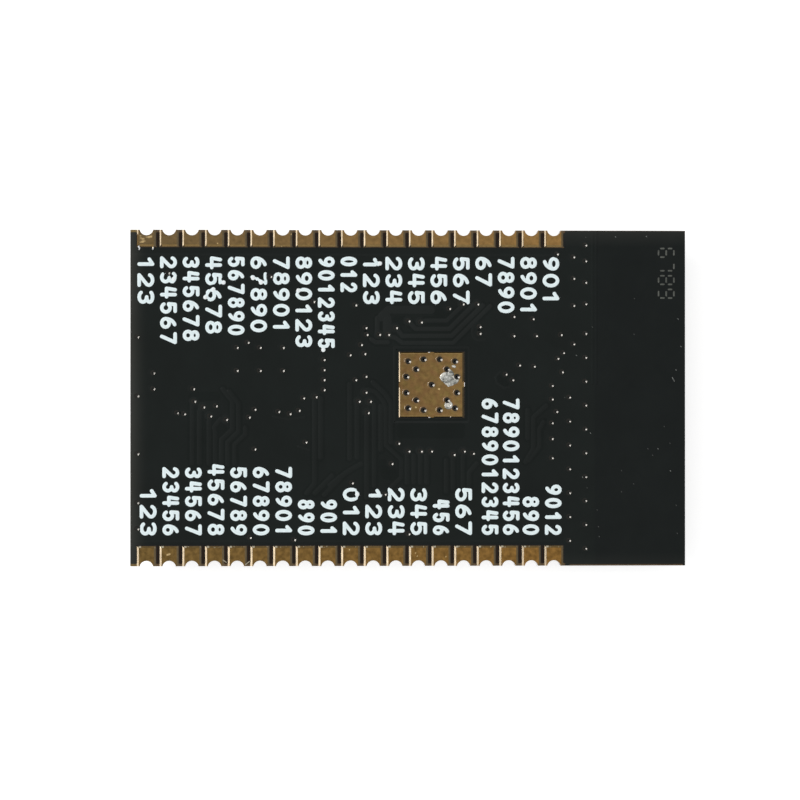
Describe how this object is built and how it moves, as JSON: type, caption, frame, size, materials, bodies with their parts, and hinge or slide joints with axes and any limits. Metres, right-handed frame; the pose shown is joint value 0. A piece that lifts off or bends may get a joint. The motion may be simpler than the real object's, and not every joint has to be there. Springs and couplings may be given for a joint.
{
  "type": "castellated circuit module",
  "caption": "Flat black wireless audio module for soldering to a host board: gold half-hole terminals along both long edges, square ground pad with vias, shield can, printed antenna end.",
  "frame": {"origin": "under the middle of the board, on the surface that the shield can rests on", "axes": "+X along the board towards its antenna end, +Y towards the north terminal row, +Z out of the solder side"},
  "size_m": [0.0374, 0.0226, 0.0033],
  "materials": {
    "laminate": "bare glass-fibre laminate with milled edges",
    "solder_mask": "black solder mask, satin",
    "gold_plating": "thin gold over nickel, brownish and satin",
    "via_plating": "plated barrel, bright at the mouth",
    "solder": "frozen solder, wrinkled",
    "can_sheet": "tinned sheet, satin",
    "covered_copper": "copper track under black solder mask",
    "ceramic_parts": "sintered ceramic between tinned ends",
    "chip_moulding": "moulded epoxy",
    "crystal_case": "metal lid on a ceramic tray",
    "inductor_block": "pressed magnetic powder",
    "resistor_parts": "glazed ceramic between tinned ends"
  },
  "bodies": {
    "root": {"board": "laminate", "solder_mask_back": "solder_mask", "solder_mask_front": "solder_mask", "ground_pad": "gold_plating", "via_barrels": "via_plating", "solder_splashes": "solder", "shield_can": "can_sheet", "antenna_track": "covered_copper", "antenna_matching_parts": "ceramic_parts", "processor_chip": "chip_moulding", "audio_codec_chip": "chip_moulding", "flash_memory_chip": "chip_moulding", "ram_chip": "chip_moulding", "processor_crystal": "crystal_case", "codec_crystal": "crystal_case", "power_inductor": "inductor_block", "capacitors": "ceramic_parts", "resistors": "resistor_parts", "terminal_north_01": "gold_plating", "terminal_north_02": "gold_plating", "terminal_north_03": "gold_plating", "terminal_north_04": "gold_plating", "terminal_north_05": "gold_plating", "terminal_north_06": "gold_plating", "terminal_north_07": "gold_plating", "terminal_north_08": "gold_plating", "terminal_north_09": "gold_plating", "terminal_north_10": "gold_plating", "terminal_north_11": "gold_plating", "terminal_north_12": "gold_plating", "terminal_north_13": "gold_plating", "terminal_north_14": "gold_plating", "terminal_north_15": "gold_plating", "terminal_north_16": "gold_plating", "terminal_north_17": "gold_plating", "terminal_north_18": "gold_plating", "terminal_north_19": "gold_plating", "terminal_south_01": "gold_plating", "terminal_south_02": "gold_plating", "terminal_south_03": "gold_plating", "terminal_south_04": "gold_plating", "terminal_south_05": "gold_plating", "terminal_south_06": "gold_plating", "terminal_south_07": "gold_plating", "terminal_south_08": "gold_plating", "terminal_south_09": "gold_plating", "terminal_south_10": "gold_plating", "terminal_south_11": "gold_plating", "terminal_south_12": "gold_plating", "terminal_south_13": "gold_plating", "terminal_south_14": "gold_plating", "terminal_south_15": "gold_plating", "terminal_south_16": "gold_plating", "terminal_south_17": "gold_plating", "terminal_south_18": "gold_plating", "terminal_south_19": "gold_plating"}
  },
  "joints": []
}
